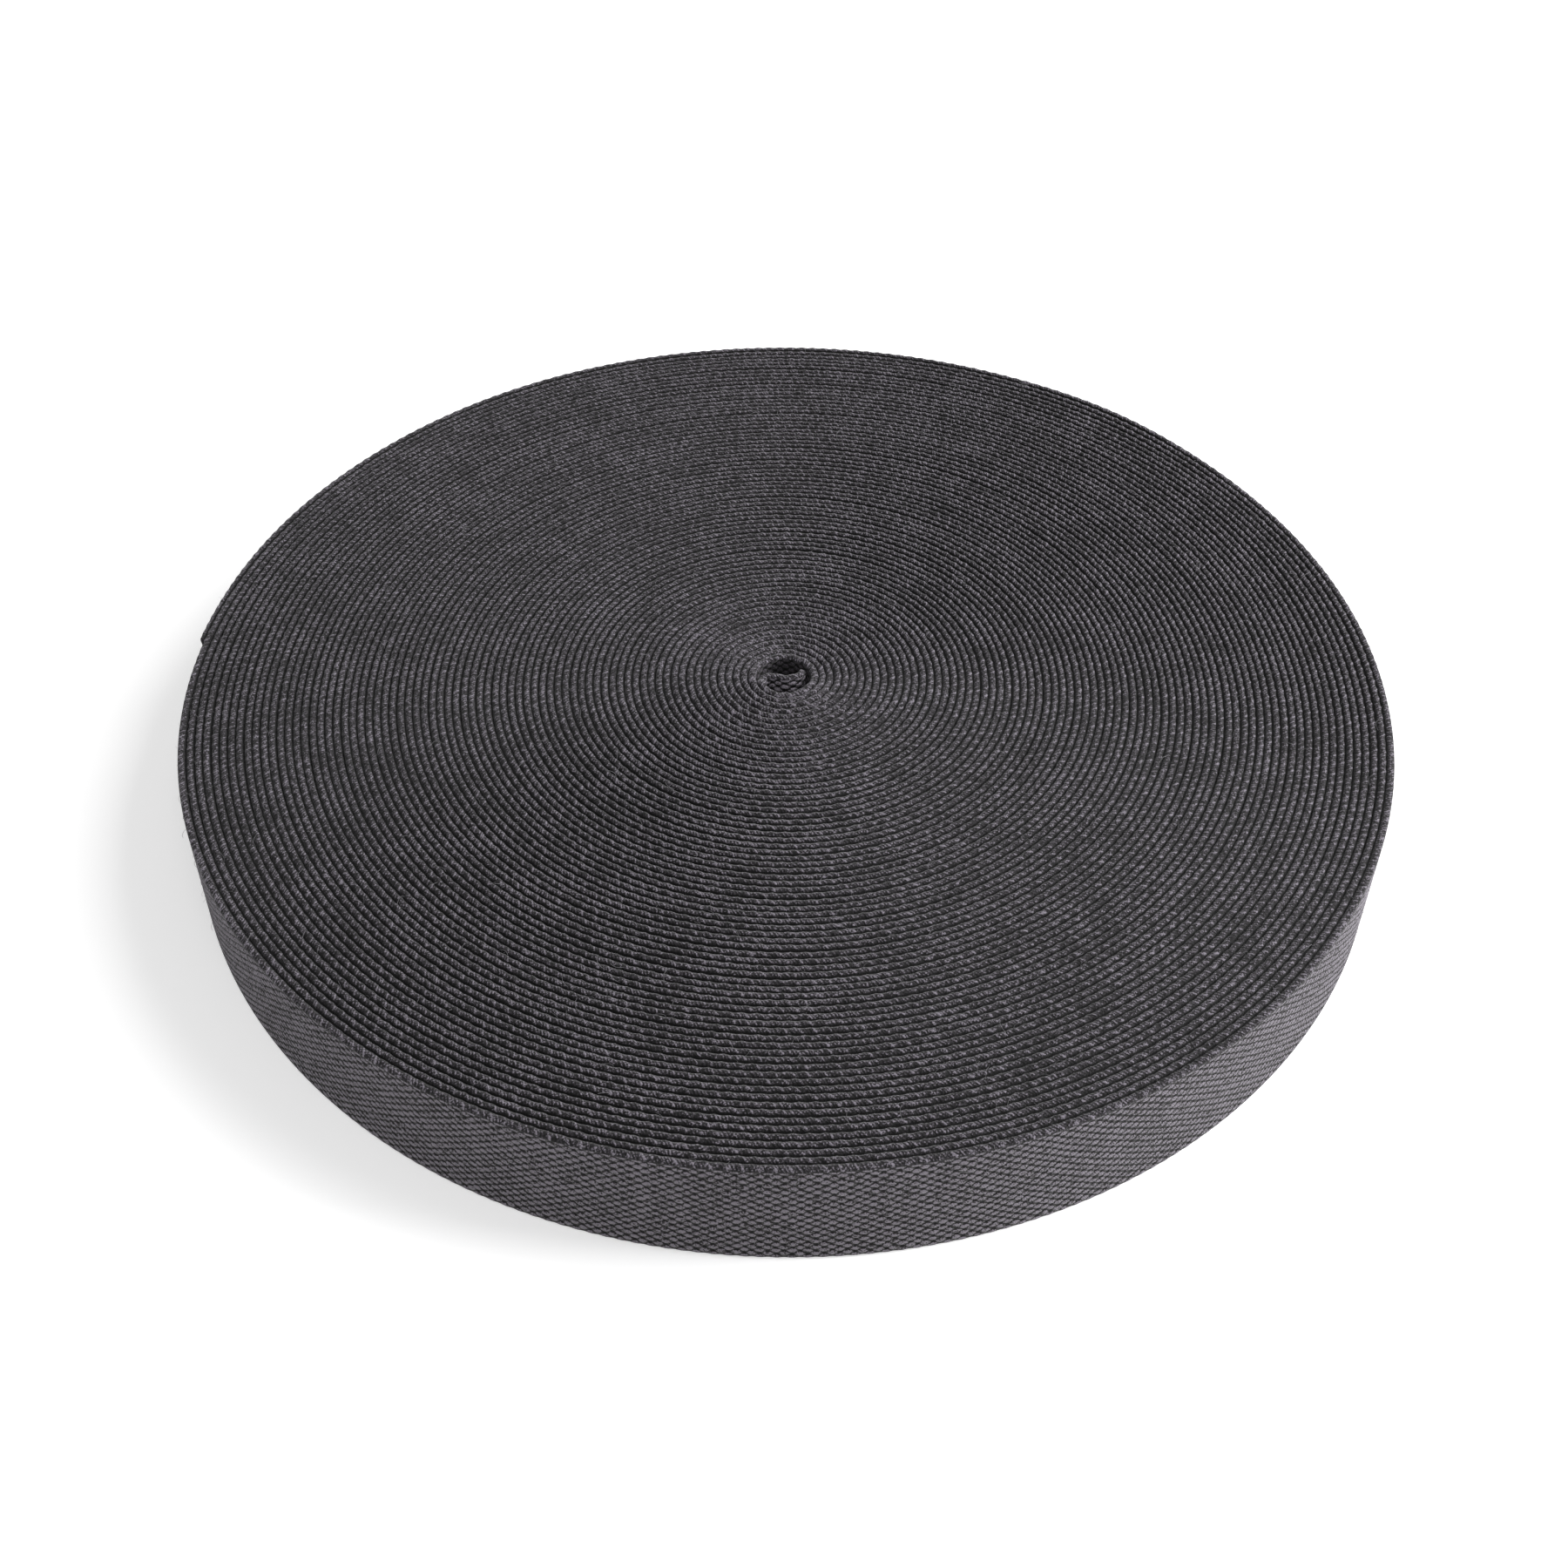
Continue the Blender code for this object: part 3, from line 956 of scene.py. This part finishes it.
@dataclass
class OuterTurn:
    """The outermost turn, whose outer face shows all round, in two pieces."""

    winding: Winding
    axis: np.ndarray
    stretch: WovenStretch
    pieces: int = 2
    columns_per_float: int = 6

    @property
    def first_length(self) -> float:
        """Length along the tape where the outermost turn begins."""
        return self.winding.length_at(math.tau * (self.winding.turns - 1.02))

    def build(self) -> list[bpy.types.Object]:
        """Build the pieces from the inside to the cut end."""
        limits = np.linspace(self.first_length, self.winding.length, self.pieces + 1)
        step = self.winding.tape.float_spacing / self.columns_per_float
        made = []
        for number in range(self.pieces):
            count = round((limits[number + 1] - limits[number]) / step)
            along = np.linspace(limits[number], limits[number + 1], count + 1)
            line = spiral_line(self.winding, self.axis, along)
            made.append(self.stretch.build(f"outer_turn_{number + 1}", line))
        return made


@dataclass
class InnerEnd:
    """The loose inner end across the hole, and the first turn that it runs into."""

    winding: Winding
    axis: np.ndarray
    stretch: WovenStretch
    thickness: float = 0.0021
    tip_drop: float = 0.0012
    tip_lift: float = 0.0004
    route_mm: tuple[tuple[float, float], ...] = (
        (5.30, 3.10), (4.70, 1.95), (2.90, 0.65), (0.40, 0.05), (-2.20, 0.50),
        (-4.50, 1.00), (-6.25, 0.45), (-7.15, -0.90),
    )
    turn_step_degrees: float = 15.0
    turn_steps: int = 24
    points_per_span: int = 24
    columns_per_float: int = 6

    @property
    def last_winding(self) -> float:
        """Winding angle in radians where the piece ends."""
        return math.radians(self.turn_step_degrees * self.turn_steps)

    def route(self) -> np.ndarray:
        """Lay out the route from the tip to the end of the first turn.

        Returns:
            Rows of x, y, upper edge, lower edge and thickness.
        """
        rows = []
        top = self.winding.tape.width - self.tip_drop
        for right, back in self.route_mm:
            place = (self.axis[0] + right * MILLIMETRE, self.axis[1] + back * MILLIMETRE)
            rows.append((*place, top, self.tip_lift, self.thickness))
        turned = np.radians(self.turn_step_degrees * np.arange(self.turn_steps + 1))
        along = np.array([self.winding.length_at(angle) for angle in turned])
        line = spiral_line(self.winding, self.axis, along)
        for index in range(len(along)):
            rows.append((*line.points[index], line.upper[index], line.lower[index], line.thickness[index]))
        return np.array(rows)

    def build(self) -> bpy.types.Object:
        """Build the piece."""
        rows = smooth_rows(self.route(), self.points_per_span)
        steps = np.linalg.norm(np.diff(rows[:, :2], axis=0), axis=1)
        reach = np.concatenate([[0.0], np.cumsum(steps)])
        end = self.winding.length_at(self.last_winding)
        step = self.winding.tape.float_spacing / self.columns_per_float
        spots = np.linspace(0.0, reach[-1], round(reach[-1] / step) + 1)
        values = np.column_stack([np.interp(spots, reach, rows[:, column]) for column in range(5)])
        tangent = np.gradient(values[:, :2], axis=0)
        tangent /= np.linalg.norm(tangent, axis=1)[:, None]
        outward = np.column_stack([tangent[:, 1], -tangent[:, 0]])
        line = Line(values[:, :2], outward, spots - reach[-1] + end, values[:, 4], values[:, 2], values[:, 3])
        piece = self.stretch.build("inner_end_and_first_turn", line)
        return piece


def smooth_rows(rows: np.ndarray, points_per_span: int) -> np.ndarray:
    """Put a smooth Catmull-Rom curve through rows of values."""
    padded = np.vstack([2.0 * rows[0] - rows[1], rows, 2.0 * rows[-1] - rows[-2]])
    share = (np.arange(points_per_span) / points_per_span)[:, None]
    spans = []
    for index in range(len(rows) - 1):
        before, start, finish, after = padded[index:index + 4]
        spans.append(0.5 * (
            2.0 * start
            + share * (finish - before)
            + share**2 * (2.0 * before - 5.0 * start + 4.0 * finish - after)
            + share**3 * (3.0 * start - before - 3.0 * finish + after)
        ))
    return np.vstack([*spans, rows[-1:]])


@dataclass
class LooseFibres:
    """Cotton hairs that stand off the turns, grown by Geometry Nodes on the wound form."""

    finish: bpy.types.Material
    count_per_square_metre: float = 7500.0
    shortest: float = 0.0012
    longest: float = 0.0048
    thickness_share: float = 0.012
    seed: int = 7

    def tree(self) -> bpy.types.NodeTree:
        """Build the tree that scatters bent hairs over a surface."""
        tree = bpy.data.node_groups.new("loose_fibres", "GeometryNodeTree")
        ports = tree.interface
        ports.new_socket("Surface", in_out="INPUT", socket_type="NodeSocketGeometry")
        for name in ("Count per square metre", "Shortest", "Longest", "Thickness share"):
            ports.new_socket(name, in_out="INPUT", socket_type="NodeSocketFloat")
        ports.new_socket("Seed", in_out="INPUT", socket_type="NodeSocketInt")
        ports.new_socket("Finish", in_out="INPUT", socket_type="NodeSocketMaterial")
        ports.new_socket("Fibres", in_out="OUTPUT", socket_type="NodeSocketGeometry")
        given = add_node(tree, "NodeGroupInput").outputs
        facing = add_node(tree, "ShaderNodeSeparateXYZ", {}, {
            "Vector": add_node(tree, "GeometryNodeInputNormal")})
        spot = add_node(tree, "ShaderNodeSeparateXYZ", {}, {
            "Vector": add_node(tree, "GeometryNodeInputPosition")})
        not_below = add_node(tree, "FunctionNodeCompare", {"data_type": "FLOAT", "operation": "GREATER_THAN"}, {
            0: facing.outputs["Z"], 1: -0.3})
        not_low = add_node(tree, "FunctionNodeCompare", {"data_type": "FLOAT", "operation": "GREATER_THAN"}, {
            0: spot.outputs["Z"], 1: self.longest})
        roots = add_node(tree, "GeometryNodeDistributePointsOnFaces", {"distribute_method": "RANDOM"}, {
            "Mesh": given["Surface"], "Selection": not_below,
            "Density": given["Count per square metre"], "Seed": given["Seed"]})
        bend = add_node(tree, "GeometryNodeCurvePrimitiveBezierSegment", {}, {
            "Resolution": 5, "Start": (0.0, 0.0, 0.0), "Start Handle": (0.15, 0.1, 0.30),
            "End Handle": (0.55, 0.35, 0.34), "End": (0.9, 0.1, 0.16)})
        ring = add_node(tree, "GeometryNodeCurvePrimitiveCircle", {"mode": "RADIUS"}, {
            "Resolution": 3, "Radius": given["Thickness share"]})
        hair = add_node(tree, "GeometryNodeCurveToMesh", {}, {
            "Curve": bend, "Profile Curve": ring, "Fill Caps": True})
        spin = add_node(tree, "FunctionNodeRandomValue", {"data_type": "FLOAT_VECTOR"}, {
            0: (-0.35, -0.35, -math.pi), 1: (0.35, 0.35, math.pi), "Seed": 1})
        turned = add_node(tree, "FunctionNodeRotateRotation", {"rotation_space": "LOCAL"}, {
            "Rotation": roots.outputs["Rotation"], "Rotate By": spin})
        size = add_node(tree, "FunctionNodeRandomValue", {"data_type": "FLOAT"}, {
            2: given["Shortest"], 3: given["Longest"], "Seed": 2})
        placed = add_node(tree, "GeometryNodeInstanceOnPoints", {}, {
            "Points": roots.outputs["Points"], "Selection": not_low, "Instance": hair,
            "Rotation": turned, "Scale": size.outputs[1]})
        real = add_node(tree, "GeometryNodeRealizeInstances", {}, {"Geometry": placed})
        dressed = add_node(tree, "GeometryNodeSetMaterial", {}, {
            "Geometry": real, "Material": given["Finish"]})
        add_node(tree, "NodeGroupOutput", {}, {"Fibres": dressed})
        return tree

    def build(self, surface: bpy.types.Object) -> bpy.types.Object:
        """Grow the fibres on a copy of a surface."""
        base = bpy.data.objects.new("fibre_roots", surface.data.copy())
        bpy.context.scene.collection.objects.link(base)
        values = {
            "Count per square metre": self.count_per_square_metre, "Shortest": self.shortest,
            "Longest": self.longest, "Thickness share": self.thickness_share,
            "Seed": self.seed, "Finish": self.finish,
        }
        return run_tree(base, self.tree(), values, "loose_fibres")


@dataclass(frozen=True)
class Studio:
    """A pale floor, soft light and the camera at the photograph's angle."""

    picture_pixels: float = 1800.0
    focal_pixels: float = 2364.0
    sensor_mm: float = 36.0
    distance: float = 3.44
    elevation: float = 44.36
    roll: float = -0.40
    shift_right: float = 0.0009
    shift_up: float = 0.1847
    roll_radius: float = 0.183
    floor_size: float = 6.0
    floor_glow: float = 0.35

    def camera(self, target: mathutils.Vector) -> None:
        """Place the camera.

        Args:
            target: middle of the roll's upper face.
        """
        lens = bpy.data.cameras.new("camera")
        lens.sensor_width = self.sensor_mm
        lens.lens = self.focal_pixels / self.picture_pixels * self.sensor_mm
        camera = bpy.data.objects.new("camera", lens)
        rise = math.radians(self.elevation)
        lean = math.radians(self.roll)
        back = mathutils.Vector((0.0, -math.cos(rise), math.sin(rise)))
        right = mathutils.Vector((1.0, 0.0, 0.0))
        upward = mathutils.Vector((0.0, math.sin(rise), math.cos(rise)))
        offset = back * self.distance - right * self.shift_right - upward * self.shift_up
        turned_right = right * math.cos(lean) - upward * math.sin(lean)
        turned_up = right * math.sin(lean) + upward * math.cos(lean)
        axes = mathutils.Matrix((turned_right, turned_up, back)).transposed()
        place = mathutils.Matrix.Translation(target + offset * self.roll_radius)
        camera.matrix_world = place @ axes.to_4x4()
        bpy.context.scene.collection.objects.link(camera)
        bpy.context.scene.camera = camera

    def floor(self) -> None:
        """Lay the pale floor, lit a little from below as on a light table."""
        material = bpy.data.materials.new("pale_floor")
        material.use_nodes = True
        paint = material.node_tree.nodes["Principled BSDF"]
        paint.inputs["Base Color"].default_value = to_linear("f4f4f4")
        paint.inputs["Roughness"].default_value = 0.9
        paint.inputs["Emission Color"].default_value = to_linear("ffffff")
        paint.inputs["Emission Strength"].default_value = self.floor_glow
        half = 0.5 * self.floor_size
        corners = np.array([(-half, -half, 0.0), (half, -half, 0.0), (half, half, 0.0), (-half, half, 0.0)])
        floor = mesh_object("floor", corners, [(0, 1, 2, 3)], [material])

    def lamp(self, name: str, place: tuple, size: float, power: float) -> None:
        """Hang a square soft lamp that faces the roll."""
        light = bpy.data.lights.new(name, "AREA")
        light.size = size
        light.energy = power
        lamp = bpy.data.objects.new(name, light)
        lamp.location = place
        lamp.rotation_euler = (-mathutils.Vector(place)).to_track_quat("-Z", "Y").to_euler()
        bpy.context.scene.collection.objects.link(lamp)

    def light(self) -> None:
        """Light the scene softly, most of it from the right, with a fill from the front."""
        world = bpy.data.worlds.new("studio")
        world.use_nodes = True
        world.node_tree.nodes["Background"].inputs["Color"].default_value = to_linear("ffffff")
        world.node_tree.nodes["Background"].inputs["Strength"].default_value = 0.31
        bpy.context.scene.world = world
        self.lamp("right_low", (1.90, 0.0, 0.62), 1.0, 42.0)
        self.lamp("right_high", (1.29, 0.15, 1.53), 1.0, 26.0)
        self.lamp("front_left_low", (-1.34, -1.34, 0.62), 1.0, 2.5)
        self.lamp("front_high", (0.0, -1.15, 1.64), 1.0, 10.0)

    def build(self, target: mathutils.Vector) -> None:
        """Set up camera, floor and light."""
        bpy.context.scene.view_settings.view_transform = "Standard"
        self.camera(target)
        self.floor()
        self.light()


def main() -> None:
    """Build the roll's pieces, dress them and set up the studio."""
    logging.basicConfig(level=logging.INFO, format="%(name)s: %(message)s")
    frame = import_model()
    winding = Winding()
    axis = find_axis(winding, "webbing_roll")
    Studio().build(mathutils.Vector((axis[0], axis[1], winding.tape.width)))
    edge_finish = TurnEdgeFinish().build()
    face = TapeFaceFinish()
    # A lighter copy of the face: painted light on the loose end, which lies in the hole's shade.
    loose_face_painted_light = TapeFaceFinish("cotton_loose_end_face_painted_light", yarn=CottonYarn(light="544f56", bright_and_highlight="a29ba6"))
    # A darker copy of the face: painted shade on the first turn's face, deep in the eye.
    eye_face_painted_shade = TapeFaceFinish(
        "cotton_face_painted_shade_in_eye", yarn=CottonYarn(dark="070607", light="1b191c", bright_and_highlight="464148"))
    outer_stretch = WovenStretch(winding.tape, face, FaceRelief.OUTER, [edge_finish, face.build()])
    inner_materials = [edge_finish, loose_face_painted_light.build(), eye_face_painted_shade.build()]
    inner_stretch = WovenStretch(winding.tape, loose_face_painted_light, FaceRelief.BOTH, inner_materials)
    outer = OuterTurn(winding, axis, outer_stretch)
    inner = InnerEnd(winding, axis, inner_stretch)
    inner_length = winding.length_at(inner.last_winding)
    for piece in SweptTurns(winding, axis, edge_finish, inner_length, outer.first_length).build():
        finish_piece(piece, "webbing_roll")
    for piece in outer.build():
        finish_piece(piece, "webbing_roll")
    finish_piece(inner.build(), "inner_end")
    fibres = LooseFibres(LooseFibreFinish().build())
    finish_piece(fibres.build(frame["nodes"]["webbing_roll"]), None)


if __name__ == "__main__":
    main()
